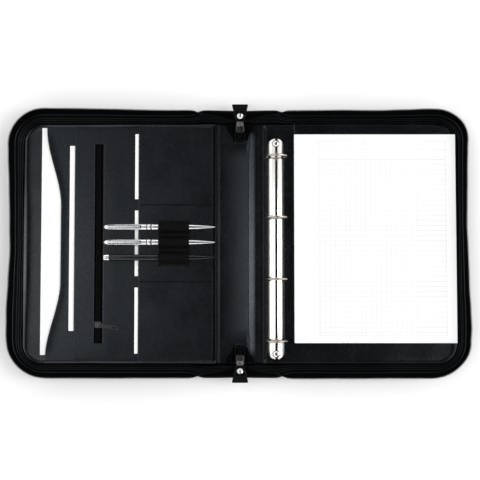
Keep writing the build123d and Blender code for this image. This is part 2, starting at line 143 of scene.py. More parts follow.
class Shape:
    """The points, faces and cloth coordinates of one piece."""

    def __init__(self):
        self.points = []
        self.faces = []
        self.cloth = []

    def lattice(self, rows, flip=False, ring=False):
        """Quads over rows of points. A ring joins each row's end to its start."""
        base, across = len(self.points), len(rows[0])
        along = 0.0
        for i, row in enumerate(rows):
            if i:
                along += (row[across // 2] - rows[i - 1][across // 2]).length
            reach = 0.0
            for j, point in enumerate(row):
                if j:
                    reach += (point - row[j - 1]).length
                self.points.append(point)
                self.cloth.append((along * MM, reach * MM))
        for i in range(len(rows) - 1):
            for j in range(across if ring else across - 1):
                k = (j + 1) % across
                a, b = base + i * across + j, base + i * across + k
                quad = (a, b, b + across, a + across)
                self.faces.append(quad[::-1] if flip else quad)

    def skin(self, rows, thickness):
        """A closed sheet: the rows are its upper face, and the lower one lies under them."""
        under = [[p - n * thickness for p, n in zip(*both)] for both in zip(rows, normals(rows))]
        self.lattice(rows)
        self.lattice(under, flip=True)
        self.lattice([under[0], rows[0]])
        self.lattice([rows[-1], under[-1]])
        self.lattice([[r[0] for r in rows], [r[0] for r in under]])
        self.lattice([[r[-1] for r in under], [r[-1] for r in rows]])

    def tube(self, path, radius, sides=8, up=UP, flat=1.0):
        """A capped tube along a path. flat is its height as a share of its width."""
        rings = []
        for i, point in enumerate(path):
            ahead = (path[min(i + 1, len(path) - 1)] - path[max(i - 1, 0)]).normalized()
            across = ahead.cross(up).normalized()
            above = across.cross(ahead)
            size = radius[i] if isinstance(radius, list) else radius
            turn = [2 * pi * k / sides for k in range(sides)]
            rings.append([point + across * size * cos(a) + above * size * flat * sin(a) for a in turn])
        base = len(self.points)
        self.lattice(rings, ring=True)
        last = base + (len(rings) - 1) * sides
        self.faces.append(tuple(range(base + sides - 1, base - 1, -1)))
        self.faces.append(tuple(range(last, last + sides)))

    def stitches(self, path, up, pitch=4.2, long=2.7, thread=0.28):
        """A row of thread stitches along a path, each dipping in at its ends."""
        walk = spaced(path, pitch)
        for a, b in zip(walk, walk[1:]):
            way = (b - a).normalized()
            middle = (a + b) / 2
            ends = [middle + way * long * t + up * thread * h for t, h in STITCH]
            self.tube(ends, [thread * 0.5, thread, thread, thread * 0.5], sides=6, up=up)

    def tooth(self, point, way, out, through, size):
        """One zip tooth: a block with a narrower nose."""
        wide, high, deep = size
        rings = []
        for h, share in ((-0.35, 0.8), (0.0, 1.0), (0.55, 1.0), (1.0, 0.62)):
            ring = []
            for a, b in ((-1, -1), (1, -1), (1, 1), (-1, 1)):
                middle = point + out * high * h
                ring.append(middle + way * wide * a * share / 2 + through * deep * b * share / 2)
            rings.append(ring)
        base = len(self.points)
        self.lattice(rings, ring=True)
        self.faces.append((base + 3, base + 2, base + 1, base))
        self.faces.append((base + 12, base + 13, base + 14, base + 15))


def normals(rows):
    """The upward direction at each point of a lattice."""
    found = []
    for i, row in enumerate(rows):
        before, after = rows[max(i - 1, 0)], rows[min(i + 1, len(rows) - 1)]
        line = []
        for j in range(len(row)):
            along = after[j] - before[j]
            across = row[min(j + 1, len(row) - 1)] - row[max(j - 1, 0)]
            line.append(along.cross(across).normalized())
        found.append(line)
    return found


def spaced(path, step):
    """The path again, with points evenly about step apart."""
    lengths = [0.0]
    for a, b in zip(path, path[1:]):
        lengths.append(lengths[-1] + (b - a).length)
    found, k = [], 0
    for at in steps(0.0, lengths[-1], step):
        while k < len(path) - 2 and lengths[k + 1] < at:
            k += 1
        share = (at - lengths[k]) / max(lengths[k + 1] - lengths[k], 1e-9)
        found.append(path[k].lerp(path[k + 1], min(1.0, share)))
    return found


def weld(mesh):
    """Joins the points that lie on one another, so that a skin is closed."""
    work = bmesh.new()
    work.from_mesh(mesh)
    bmesh.ops.remove_doubles(work, verts=work.verts, dist=WELD * MM)
    work.to_mesh(mesh)
    work.free()


def piece(name, shape, look, body=None, stands_for=(), sharp=35):
    """Makes the object of one piece, hangs it on its body and hides the CAD parts it stands for."""
    mesh = bpy.data.meshes.new(name)
    mesh.from_pydata([p * MM for p in shape.points], [], shape.faces)
    layer = mesh.uv_layers.new(name="cloth")
    for loop in mesh.loops:
        layer.data[loop.index].uv = shape.cloth[loop.vertex_index]
    weld(mesh)
    mesh.polygons.foreach_set("use_smooth", [True] * len(mesh.polygons))
    mesh.set_sharp_from_angle(angle=radians(sharp))
    mesh.materials.append(LOOKS[look])
    mesh.update()
    made = bpy.data.objects.new(name, mesh)
    bpy.context.scene.collection.objects.link(made)
    if body:
        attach(made, body)
    if stands_for:
        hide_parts(*stands_for)
    return made


def skinned(name, rows, thickness, look, body=None, stands_for=(), sharp=35):
    """A piece that is one closed sheet."""
    sheet = Shape()
    sheet.skin(rows, thickness)
    return piece(name, sheet, look, body, stands_for, sharp)


def turn_face(rows, side):
    """Rows in the order that puts their outside on the outside, on either side or end."""
    return rows if side < 0 else [row[::-1] for row in rows]


def over_crease(made):
    """Bakes a cover piece's placement into its mesh."""
    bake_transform(made)


# ---- materials ----
class Nodes:
    """Adds nodes to the tree of a material or a world."""

    def __init__(self, owner):
        owner.use_nodes = True
        self.tree = owner.node_tree

    def node(self, kind, inputs=(), **settings):
        made = self.tree.nodes.new(kind)
        for key, value in settings.items():
            setattr(made, key, value)
        for key, value in dict(inputs).items():
            if isinstance(value, bpy.types.NodeSocket):
                self.tree.links.new(value, made.inputs[key])
            else:
                made.inputs[key].default_value = value
        return made

    def maths(self, operation, a, b=0.0):
        return self.node("ShaderNodeMath", {0: a, 1: b}, operation=operation).outputs[0]

    def parts(self, vector):
        """A vector's three parts, by name."""
        return self.node("ShaderNodeSeparateXYZ", {"Vector": vector}).outputs


class Look(Nodes):
    """A procedural material round one Principled shader."""

    def __init__(self, name, colour, roughness, metallic=0.0, specular=0.5, tint=(1.0, 1.0, 1.0)):
        self.material = bpy.data.materials.new(name)
        super().__init__(self.material)
        self.shader = self.tree.nodes["Principled BSDF"]
        self.shader.inputs["Base Color"].default_value = (*colour, 1)
        self.shader.inputs["Roughness"].default_value = roughness
        self.shader.inputs["Metallic"].default_value = metallic
        self.shader.inputs["Specular IOR Level"].default_value = specular
        self.shader.inputs["Specular Tint"].default_value = (*tint, 1)

    def place(self):
        return self.node("ShaderNodeTexCoord").outputs["Object"]

    def cloth(self):
        return self.node("ShaderNodeUVMap", uv_map="cloth").outputs["UV"]

    def noise(self, size, detail=3.0, where=None):
        """Noise between about 0 and 1, with features of that size in millimetres."""
        inputs = {"Vector": where or self.place(), "Scale": 1 / (size * MM), "Detail": detail}
        return self.node("ShaderNodeTexNoise", inputs).outputs["Fac"]

    def remap(self, value, low, high, to_low=0.0, to_high=1.0):
        inputs = {"Value": value, "From Min": low, "From Max": high, "To Min": to_low, "To Max": to_high}
        return self.node("ShaderNodeMapRange", inputs).outputs["Result"]

    def blend(self, share, a, b):
        inputs = {0: share, 6: a if not isinstance(a, tuple) else (*a, 1), 7: (*b, 1)}
        return self.node("ShaderNodeMix", inputs, data_type="RGBA").outputs[2]

    def paint(self, socket):
        self.tree.links.new(socket, self.shader.inputs["Base Color"])

    def gloss(self, socket):
        self.tree.links.new(socket, self.shader.inputs["Roughness"])

    def relief(self, height, depth, strength=1.0):
        """Adds bump of that depth in millimetres over what is there already."""
        inputs = {"Height": height, "Distance": depth * MM, "Strength": strength}
        under = self.shader.inputs["Normal"].links
        if under:
            inputs["Normal"] = under[0].from_socket
        made = self.node("ShaderNodeBump", inputs)
        self.tree.links.new(made.outputs["Normal"], self.shader.inputs["Normal"])


def tinted(colour, share):
    return tuple(c * share for c in colour)


SHEEN = (0.80, 0.90, 1.0)    # coated cloth reflects a little blue


def leatherette(name, colour, roughness, specular, grain=1.1, depth=0.02):
    """Coated cloth with a pebbled grain, rubbed a little smoother in places."""
    look = Look(name, colour, roughness, specular=specular, tint=SHEEN)
    where = look.place()
    warp = look.noise(6.0, 2.0, where)
    inputs = {"Vector": where, "Scale": 1 / (grain * MM), "Randomness": 1.0}
    cells = look.node("ShaderNodeTexVoronoi", inputs, feature="DISTANCE_TO_EDGE").outputs["Distance"]
    pebble = look.remap(cells, 0.0, 0.45)
    fine = look.noise(0.5, 2.0, where)
    rubbed = look.noise(38.0, 3.0, where)
    shade = look.remap(look.maths("ADD", rubbed, look.maths("MULTIPLY", pebble, 0.35)), 0.4, 1.0)
    look.paint(look.blend(shade, tinted(colour, 0.75), tinted(colour, 1.3)))
    worn = look.remap(look.maths("ADD", warp, rubbed), 0.6, 1.4, roughness - 0.05, roughness + 0.05)
    look.gloss(look.maths("SUBTRACT", worn, look.maths("MULTIPLY", fine, 0.05)))
    look.relief(pebble, depth)
    look.relief(fine, depth * 0.12, 0.6)
    return look.material


def weave(name, colour, warp=0.9, weft=0.7, depth=0.12, roughness=0.8, specular=0.25):
    """Woven tape: threads along the cloth's length crossed by finer ones."""
    look = Look(name, colour, roughness, specular=specular)
    parts = look.parts(look.cloth())
    along = look.maths("SINE", look.maths("MULTIPLY", parts["Y"], 2 * pi / (warp * MM)))
    across = look.maths("SINE", look.maths("MULTIPLY", parts["X"], 2 * pi / (weft * MM)))
    threads = look.remap(look.maths("MAXIMUM", along, across), -1.0, 1.0)
    fuzz = look.noise(0.5, 4.0)
    patches = look.noise(14.0, 2.0)
    shade = look.remap(look.maths("ADD", look.maths("MULTIPLY", threads, 0.6), patches), 0.3, 1.3)
    look.paint(look.blend(shade, tinted(colour, 0.6), tinted(colour, 1.5)))
    look.gloss(look.remap(fuzz, 0.2, 0.8, roughness - 0.08, roughness + 0.1))
    look.relief(threads, depth)
    look.relief(fuzz, depth * 0.5, 0.6)
    return look.material


def metal(name, colour, roughness, scratch=0.05, tarnish=0.86, metallic=1.0):
    """Plated metal with hairline scratches and slightly dull patches."""
    look = Look(name, colour, roughness, metallic=metallic)
    where = look.place()
    along_y = {0: where, 1: (1.0, 0.06, 1.0)}
    squeezed = look.node("ShaderNodeVectorMath", along_y, operation="MULTIPLY").outputs[0]
    hair = look.noise(0.25, 5.0, squeezed)
    dull = look.noise(9.0, 3.0, where)
    look.paint(look.blend(look.remap(dull, 0.35, 0.75), colour, tinted(colour, tarnish)))
    worn = look.remap(dull, 0.3, 0.7, roughness, roughness + 0.06)
    look.gloss(look.maths("ADD", worn, look.maths("MULTIPLY", hair, scratch)))
    look.relief(hair, 0.004, 0.5)
    return look.material


def moulded(name, colour, roughness, specular=0.5):
    """Moulded plastic or enamel with a faint orange-peel skin."""
    look = Look(name, colour, roughness, specular=specular)
    peel = look.noise(0.9, 2.0)
    dust = look.noise(5.0, 5.0)
    look.paint(look.blend(look.remap(dust, 0.35, 0.8), colour, tinted(colour, 1.7)))
    look.gloss(look.remap(dust, 0.3, 0.7, roughness - 0.04, roughness + 0.1))
    look.relief(peel, 0.02, 0.5)
    return look.material


def paper(name, colour, fibre=0.6):
    """Uncoated paper with a slight mottle and tooth."""
    look = Look(name, colour, 0.75, specular=0.2)
    mottle = look.noise(fibre * 6, 4.0)
    tooth = look.noise(fibre * 0.5, 4.0)
    look.paint(look.blend(look.remap(mottle, 0.3, 0.7), tinted(colour, 0.985), colour))
    look.gloss(look.remap(tooth, 0.2, 0.8, 0.68, 0.85))
    look.relief(tooth, 0.02, 0.5)
    return look.material


def thread(name, colour):
    """Twisted sewing thread."""
    look = Look(name, colour, 0.55, specular=0.4)
    twist = look.noise(0.3, 2.0)
    look.paint(look.blend(look.remap(twist, 0.3, 0.7), tinted(colour, 0.6), tinted(colour, 1.4)))
    look.gloss(look.remap(twist, 0.2, 0.8, 0.45, 0.7))
    look.relief(twist, 0.05)
    return look.material


LINING_COLOUR = (0.0028, 0.0032, 0.0040)
OUTER_COLOUR = (0.0012, 0.0013, 0.0014)
LOOKS = {
    "lining": leatherette("lining_leatherette", LINING_COLOUR, 0.28, 0.36),
    "pocket": leatherette("pocket_leatherette", LINING_COLOUR, 0.30, 0.36),
    "binding": leatherette("binding_leatherette", tinted(LINING_COLOUR, 1.3), 0.32, 0.36, grain=0.9),
    "edge": leatherette("rim_leatherette", tinted(OUTER_COLOUR, 1.5), 0.35, 0.3, grain=0.9),
    "rib": leatherette("rib_leatherette", tinted(OUTER_COLOUR, 3.4), 0.34, 0.14, grain=0.9),
    # The hems are the lining's cloth with its colour made 4.5 times lighter: a painted highlight along the
    # rolled edges.
    "hem": leatherette("hem_leatherette_painted_highlight", tinted(LINING_COLOUR, 4.5), 0.28, 0.5, grain=0.9),
    "gusset": leatherette("gusset_leatherette", OUTER_COLOUR, 0.4, 0.03),
    "outer": leatherette(OUTER, tinted(OUTER_COLOUR, 3.0), 0.38, 0.5, grain=1.5, depth=0.06),
    "tab": leatherette("tab_leather", tinted(OUTER_COLOUR, 1.2), 0.4, 0.06, grain=0.9),
    "tape": weave("zip_tape_weave", (0.0009, 0.0010, 0.0012), specular=0.015),
    "elastic": weave("elastic_weave", (0.0028, 0.0028, 0.003), warp=1.3, weft=0.9, depth=0.2, specular=0.06),
    "teeth": moulded("zip_teeth", (0.0014, 0.0014, 0.0016), 0.4, 0.06),
    "thread": thread("black_thread", (0.010, 0.010, 0.011)),
    "chrome": metal("ring_chrome", (0.86, 0.84, 0.80), 0.07),
    "wire": metal("ring_wire_chrome", (0.44, 0.41, 0.37), 0.1),
    "zip_metal": metal("zip_nickel", (0.62, 0.62, 0.62), 0.2),
    "slider_metal": metal("slider_nickel", (0.2, 0.2, 0.205), 0.16),
    "black_metal": metal("black_enamel", (0.06, 0.06, 0.065), 0.25, metallic=0.8),
    "silver_pen": metal("pen_silver", (0.9, 0.9, 0.91), 0.18),
    "black_pen": moulded("pen_lacquer", (0.004, 0.004, 0.006), 0.12),
    "paper": paper("white_paper", (0.96, 0.96, 0.955)),
    "card": paper("white_card", (0.96, 0.96, 0.955), fibre=0.9),
    "board": paper("grey_board", (0.42, 0.38, 0.33), fibre=2.0),
    "cover_board": paper("black_board", (0.008, 0.008, 0.008), fibre=2.0),
}


PAD_COLOUR = (0.87, 0.87, 0.865)
PRINT_X = (31.7, 92.0, 160.0, 197.0)     # the heading boxes' upright lines, from the pad's left edge
PRINT_Y = (8.6, 20.2, 33.1, 262.0)       # their level lines and the print's end, from its top edge
PRINT_PITCH = 6.6
PRINT_GRID, PRINT_RULE, PRINT_BOX = 0.45, 0.6, 0.5       # the widths of its lines
PRINT_STRENGTH = 0.6


def printed_pad():
    """The pad's top sheet: paper with a pale squared print, header boxes and ruled column."""
    look = Look("printed_paper", PAD_COLOUR, 0.75, specular=0.2)
    parts = look.parts(look.place())
    low, high = corners("pad_sheets")
    tooth = look.noise(0.35, 4.0)
    x = look.maths("DIVIDE", look.maths("SUBTRACT", parts["X"], low.x * MM), MM)
    y = look.maths("DIVIDE", look.maths("SUBTRACT", high.y * MM, parts["Y"]), MM)

    def both(a, b):
        return look.maths("MULTIPLY", a, b)

    def inside(value, a, b):
        return both(look.maths("GREATER_THAN", value, a), look.maths("LESS_THAN", value, b))

    def rules(value, width):
        """Lines at every pitch."""
        share = look.maths("FRACT", look.maths("DIVIDE", value, PRINT_PITCH))
        return look.maths("LESS_THAN", share, width / PRINT_PITCH)

    def line(value, at):
        return inside(value, at - PRINT_BOX / 2, at + PRINT_BOX / 2)

    def either(*masks):
        found = masks[0]
        for mask in masks[1:]:
            found = look.maths("MAXIMUM", found, mask)
        return found

    left, middle, right, far = PRINT_X
    top, box_1, box_2, bottom = PRINT_Y
    grid = either(rules(x, PRINT_GRID), rules(y, PRINT_GRID))
    squares = both(grid, both(inside(x, left, right), inside(y, box_2, bottom)))
    ruled = both(rules(y, PRINT_RULE), both(inside(x, right, far), inside(y, box_2, bottom)))
    frame_x = both(either(*[line(x, at) for at in (left, middle, right, far)]), inside(y, top, box_2))
    frame_far = both(either(line(x, left), line(x, far)), inside(y, box_2, bottom))
    frame_y = both(either(*[line(y, at) for at in (top, box_1, box_2, bottom)]), inside(x, left, far))
    ink = either(squares, ruled, frame_x, frame_far, frame_y)
    look.paint(look.blend(both(ink, PRINT_STRENGTH), PAD_COLOUR, tinted(PAD_COLOUR, 0.55)))
    look.gloss(look.remap(tooth, 0.2, 0.8, 0.68, 0.85))
    look.relief(tooth, 0.02, 0.5)
    return look.material


# ---- the CAD nodes that show as they are ----
PEN_PARTS = ("barrel", "front", "clip")
KEPT = {
    "board": ["pad_backing"],
    "cover_board": ["left_board", "right_board", "spine_board"],
    "paper": ["document_sheets", "slip_sheet"],
    "card": ["cards"],
    "chrome": ["ring_cover_plate", "left_ring_blade", "right_ring_blade", "mechanism_rivets"],
    "wire": ["left_ring_halves", "right_ring_halves"],
    "zip_metal": ["top_pull_link", "bottom_pull_link"],
    "slider_metal": ["top_slider", "bottom_slider"],
    "black_metal": ["pocket_slider", "pocket_puller"],
    "silver_pen": [f"{pen}_pen_{part}" for pen in PENS[:2] for part in PEN_PARTS],
    "black_pen": [f"{PENS[2]}_pen_{part}" for part in PEN_PARTS],
    "binding": ["pad_head_strip"],
}


def show_as(node_name, material):
    """Gives a CAD node its look."""
    slots = frame["nodes"][node_name].data.materials
    slots.clear()
    slots.append(material)


for look_name, node_names in KEPT.items():
    for node_name in node_names:
        show_as(node_name, LOOKS[look_name])
show_as("pad_sheets", printed_pad())


# ---- the covers' outline and walls ----
STRAIGHT = COVER_OUT - CORNER
ARC = CORNER * pi / 2
FAR_SIDE = 2 * (HALF_HEIGHT - CORNER)
AROUND = 2 * STRAIGHT + 2 * ARC + FAR_SIDE


def outline_at(side, s, grow):
    """A point (x, y) on a cover's outline and the way out there, s millimetres from the
    middle of the spine's top end, round the cover to the middle of its bottom end."""
    flip = 1
    if s > AROUND / 2:
        s = AROUND - s
        flip = -1
    radius = CORNER + CORNER_FLARE * grow
    mid_x = COVER_OUT + grow - radius
    mid_y = HALF_HEIGHT + grow - radius
    if s < STRAIGHT:
        x, y, out = mid_x * s / STRAIGHT, HALF_HEIGHT + grow, (0.0, 1.0)
    elif s < STRAIGHT + ARC:
        angle = (s - STRAIGHT) / CORNER
        x, y = mid_x + radius * sin(angle), mid_y + radius * cos(angle)
        out = (sin(angle), cos(angle))
    else:
        share = (s - STRAIGHT - ARC) / FAR_SIDE
        x, y, out = COVER_OUT + grow, mid_y * (1 - 2 * share), (1.0, 0.0)
    return side * x, flip * y, (side * out[0], flip * out[1])


# How far the soft rim sways outwards, at distances along the outline.
SWAY = {
    LEFT: [
        *[(0, 0), (45, 2.0), (100, 1.7), (130, 2.3), (190, 4.0), (240, 4.7), (277, 4.8), (312, 3.7)],
        *[(350, 1.9), (400, 0.9), (435, -0.3), (480, 2.1), (520, 4.2), (548, 4.0), (578, 0.8)],
        *[(605, 3.1), (700, 3.4), (790, 3.1)],
    ],
    RIGHT: [
        *[(0, 0), (45, 1.8), (70, 1.1), (100, 1.7), (190, 1.6), (215, 2.4), (245, 4.0), (277, 3.0)],
        *[(300, -1.9), (335, -2.9), (373, -3.7), (400, -4.2), (435, -2.9), (480, -2.0), (517, 0.2)],
        *[(540, 0.7), (560, -0.8), (578, -1.8), (605, 3.6), (700, 4.1), (790, 3.9)],
    ],
}
for knots in SWAY.values():
    knots += [(AROUND - 40, 3.0), (AROUND, 2.0)]

EDGE_Z = (13.6, 16.0)        # the gusset's top edge: beside the spine, and round the cover
EDGE_GROW = 15.2             # how far out it leans beside the spine
RAMP = (46.0, 68.0)          # where the zip climbs from the spine's height to the rim's
CHAIN_NEAR_Z = 13.6


def spine_distance(s):
    """How far along the straight top or bottom edge a place is from the spine's middle."""
    return min(s, AROUND - s)


def gusset_edge(s):
    """How far out and how high the gusset's top edge is."""
    share = ease(spine_distance(s), *RAMP)
    return mix(EDGE_GROW, LEAN * (EDGE_Z[1] - SKIN), share), mix(*EDGE_Z, share)


def wall_point(side, s, h):
    """A point on the middle of the gusset: h is 0 at its foot and 1 at its top edge."""
    grow, top = gusset_edge(s)
    sway = eased(SWAY[side], s) * (h * top / RIM_Z) ** 1.5
    z = mix(SKIN + 0.3, top, h)
    x, y, out = outline_at(side, s, WALL / 2 + grow * h + sway)
    belly = 0.9 * sin(pi * h) + rough(x, y, z, 26.0, 0.9) * sin(pi * min(1.0, h * 1.2))
    return Vector((x + out[0] * belly, y + out[1] * belly, z))


def chain_point(side, s):
    """The line of the zip's teeth: along the rim, and down to the slider by the spine."""
    near = spine_distance(s)
    reach = 1 - (1 - min(near, RAMP[1]) / RAMP[1]) ** 2
    far_grow = LEAN * (CHAIN_Z - SKIN)
    z = mix(CHAIN_NEAR_Z, CHAIN_Z, ease(near, *RAMP))
    sway = eased(SWAY[side], s) * (z / RIM_Z) ** 1.5
    x, y, out = outline_at(side, s, WALL / 2 + far_grow * reach + sway)
    ripple = rough(x, y, 0, 40.0, 0.5)
    return Vector((x + out[0] * ripple, y + out[1] * ripple, z))


def outwards(side, s):
    out = outline_at(side, s, 0.0)[2]
    return Vector((out[0], out[1], 0))


def wall_up(side, s):
    """The way up the wall at its rim."""
    lean = ease(spine_distance(s), *RAMP)
    return (outwards(side, s) * mix(-1.0, LEAN, lean) + Vector((0, 0, mix(0.25, 1.0, lean)))).normalized()


GUSSET_THICK = 1.1
RIBS = (0.25, 0.47, 0.68)    # the sewn pleats that run round the wall, at shares of its height
RIB_RADIUS, RIB_DEEP = 1.05, 0.6         # set into the wall, so they show on both its faces
BEADS = (1.25, 0.95)         # the piping's radius at the wall's foot and along its top
CHAIN_FROM = 3.0             # where the zip starts, from the middle of the spine
SEAM_HEIGHT = 0.86
SEAM_PUSH = (-0.75, 0.65)    # the wall's seam, on its inside and its outside


def wall_line(side, places, h, push):
    """A line along the wall, h of the way up and pushed outwards."""
    return [wall_point(side, s, h) + outwards(side, s) * push for s in places]


def crossing(side, word, name, shape, look, slot, *stands_for):
    """A piece of one cover, with its placement baked in."""
    nodes = [f"{word}_{node_name}" for node_name in stands_for]
    made = piece(f"{word}_{name}", shape, look, stands_for=nodes)
    over_crease(made)
    return made


def zip_chain(side):
    """The main zip's teeth, each turned to the wall, and the cord they sit on."""
    chain = Shape()
    line = spaced([chain_point(side, s) for s in steps(CHAIN_FROM, AROUND - CHAIN_FROM, 2.0)], 2.3)
    total = len(line) - 1
    for i, point in enumerate(line):
        ahead = (line[min(i + 1, total)] - line[max(i - 1, 0)]).normalized()
        up = wall_up(side, mix(CHAIN_FROM, AROUND - CHAIN_FROM, i / total))
        up = (up - ahead * up.dot(ahead)).normalized()
        chain.tooth(point + up * 0.4, ahead, up, ahead.cross(up), MAIN_TOOTH)
    chain.tube(line, 0.75, sides=6)
    return chain


def zip_cloth(side):
    """The tape between the wall's top edge and the teeth, sagging a little."""
    rows = []
    for s in steps(CHAIN_FROM, AROUND - CHAIN_FROM, 3.0):
        edge, chain = wall_point(side, s, 0.93), chain_point(side, s)
        sag = Vector((0, 0, -0.5))
        rows.append([edge.lerp(chain, h / 5) + sag * sin(pi * h / 5) for h in range(6)])
    tape = Shape()
    tape.skin(turn_face(rows, side), 0.6)
    return tape


for side, word in SIDES:
    walk = steps(SPINE_EDGE, AROUND - SPINE_EDGE, 3.0)
    gusset = Shape()
    rows = [[wall_point(side, s, h / 8) for h in range(9)] for s in walk]
    gusset.skin(turn_face(rows, side), GUSSET_THICK)
    made = crossing(side, word, "gusset_wall", gusset, "gusset", INNER, "gusset")

    bead = Shape()
    bead.tube(wall_line(side, walk, 0.0, 0.5), BEADS[0], sides=10)
    bead.tube([wall_point(side, s, 1.0) for s in walk], BEADS[1], sides=8)
    crossing(side, word, "piping", bead, "edge", OUTER)

    ribs = Shape()
    for h in RIBS:
        ribs.tube(wall_line(side, walk, h, -RIB_DEEP), RIB_RADIUS)
    crossing(side, word, "wall_ribs", ribs, "rib", INNER)
    crossing(side, word, "zip_cloth", zip_cloth(side), "tape", "zip_tape", "zip_tape")
    crossing(side, word, "zip_teeth", zip_chain(side), "teeth", "zip_teeth", "zip_chain")

    seam = Shape()
    for push in SEAM_PUSH:
        places = steps(SPINE_EDGE, AROUND - SPINE_EDGE, 2.0)
        seam.stitches(wall_line(side, places, SEAM_HEIGHT, push), UP)
    crossing(side, word, "wall_stitches", seam, "thread", OUTER)


# ---- the outer cover and the lining ----
def half_height_at(x, grow):
    """Half the cover's length along the spine, at a place across it."""
    radius = CORNER + CORNER_FLARE * grow
    over = abs(x) - (COVER_OUT + grow - radius)
    if over <= 0:
        return HALF_HEIGHT + grow
    return HALF_HEIGHT + grow - radius + sqrt(max(radius**2 - over**2, 0.0))


BULGE_HIGH = 2.8
BULGE_FROM, BULGE_CREST, BULGE_TO = -23.0, 11.3, 21.2
BULGE_ENDS = (138.0, 154.0)  # it dies out towards the ends of the spine
UNDER_ZIP_Y, UNDER_ZIP_X = (112.0, 132.0), (8.5, 13.0)   # and lies flat beneath the zip ends
GROOVE_X = 23.2              # a shallow groove along the right crease
WELT_UP, WELT_DOWN = (-34.6, -31.6), (-31.4, -23.8)      # a low welt beside the left crease
SEAM_X = (31.4, 34.6)        # the two raised seams between the spine and the rings
SEAM_Y = (-146, 150)         # where their stitches end
LINING_THICK = 0.55


def spine_bulge(x):
    """The lining's rise over the spine: slow from the left, and steep down to the right crease."""
    rise = min(1.0, max(0.0, (x - BULGE_FROM) / (BULGE_CREST - BULGE_FROM))) ** 1.9
    fall = 1 - min(1.0, max(0.0, (x - BULGE_CREST) / (BULGE_TO - BULGE_CREST)))
    return BULGE_HIGH * rise * fall**1.6


def lining_height(x, y):
    """The height of the lining's upper face."""
    under_zip = ease(abs(y), *UNDER_ZIP_Y) * (1 - ease(x, *UNDER_ZIP_X))
    ends = (1 - under_zip) * (1 - ease(abs(y), *BULGE_ENDS))
    z = LINING_TOP + spine_bulge(x) * ends
    z -= 0.1 * bump(x, GROOVE_X, 1.8)
    z += 0.24 * (bump(x, SEAM_X[0], 0.8) + bump(x, SEAM_X[1], 0.8))
    z += 1.0 * ease(x, *WELT_UP) * (1 - ease(x, *WELT_DOWN))
    if abs(x) > FOLD_X + 8:
        near = min(half_height_at(x, 0) - abs(y), COVER_OUT - abs(x))
        z += 1.8 * exp(-max(near, 0.0) / 2.2)
        if x < 0:
            z += 1.6 * exp(-max(COVER_OUT + x, 0.0) / 5.0) * (1 - ease(abs(y + 10.0), 30.0, 120.0))
    return z + max(0.0, rough(x, y, 0, 45.0, 0.35))


# The lattice of a cover's cloth: places across it, and shares of half its length, closer by its edges.
PLACES = steps(SPINE_EDGE, 40.0, 0.8) + steps(44.0, COVER_OUT - 24, 6.0)
PLACES += steps(COVER_OUT - 22, COVER_OUT, 1.1)
SHARES = [(abs(t) / 60) ** 0.8 * (1 if t > 0 else -1) for t in range(-60, 61)]

for side, word in SIDES:
    rows = []
    for x in PLACES:
        half = half_height_at(x, -0.2)
        rows.append([Vector((side * x, t * half, lining_height(side * x, t * half))) for t in SHARES])
    lining = Shape()
    lining.skin(turn_face(rows, -side), LINING_THICK)
    stands = [f"{word}_lining"]
    made = piece(f"{word}_inner_lining", lining, "lining", stands_for=stands)
    over_crease(made)

    rows = []
    for x in PLACES + [COVER_OUT + 0.8, COVER_OUT + WALL]:
        half = half_height_at(x, WALL)
        rows.append([Vector((side * x, t * half, 0.25 * bump(x, FOLD_X, 2.0))) for t in SHARES])
    skin = Shape()
    skin.skin(turn_face(rows, side), SKIN - 0.1)
    nodes = ("outer_skin", "crease_skin")
    made = crossing(side, word, "outer_cover", skin, "outer", OUTER, *nodes)

rows = []
for x in steps(-SPINE_EDGE, SPINE_EDGE, 0.7):
    rows.append([Vector((x, t * (HALF_HEIGHT - 0.2), lining_height(x, t * HALF_HEIGHT))) for t in SHARES])
stands = ["spine_lining"]
made = skinned("spine_inner_lining", rows, LINING_THICK, "lining", "spine", stands)

rows = []
for x in steps(-SPINE_EDGE, SPINE_EDGE, 2.0):
    rows.append([Vector((x, -t * (HALF_HEIGHT + WALL), 0.0)) for t in SHARES])
stands = ["spine_outer_skin"]
made = skinned("spine_outer_cover", rows, SKIN - 0.1, "outer", "spine", stands)


# ---- the spine's two ends ----
def end_point(sign, x, h):
    """A point on the end gusset, which carries the covers' gussets across the spine."""
    s = abs(x) if sign > 0 else AROUND - abs(x)
    near = wall_point(RIGHT, s if s else 0.001, h)
    return Vector((x, near.y, near.z))


def joined_end_point(sign, x, h):
    """The same, eased onto each cover's own wall at the join."""
    s = SPINE_EDGE if sign > 0 else AROUND - SPINE_EDGE
    side = LEFT if x < 0 else RIGHT
    share = ease(abs(x), SPINE_EDGE - 7.0, SPINE_EDGE)
    meet = wall_point(side, s, h)
    point = end_point(sign, x, h)
    return Vector((x, mix(point.y, meet.y, share), mix(point.z, meet.z, share)))


ZIP_SLOPE = radians(20.0)
ZIP_END_Y = 133.0
ZIP_END_Z = 5.3
ZIP_END_LENGTH = 24.0
ZIP_HALF = corners("top_zip_end")[1].x
PLEAT_Y = (135.0, 154.5)     # the pleats beside the zip end, along the spine; their dark cloth is painted shade
PLEAT_HALF = 18.5            # half their width at the far end


def on_slope(sign, x, along, out):
    """A place on the sloping zip end, given across, along the slope and out from it."""
    y = ZIP_END_Y + along * cos(ZIP_SLOPE) - out * sin(ZIP_SLOPE)
    return Vector((x, sign * y, ZIP_END_Z + along * sin(ZIP_SLOPE) + out * cos(ZIP_SLOPE)))


def one_way(vector, sign):
    return Vector((vector[0], sign * vector[1], vector[2]))


SLOPE_WAY = Vector((0, cos(ZIP_SLOPE), sin(ZIP_SLOPE)))
SLOPE_OUT = Vector((0, -sin(ZIP_SLOPE), cos(ZIP_SLOPE)))

def end_line(sign, h):
    """A line across the end wall, at a share of its height."""
    return [joined_end_point(sign, x, h) for x in steps(-SPINE_EDGE, SPINE_EDGE, 1.4)]


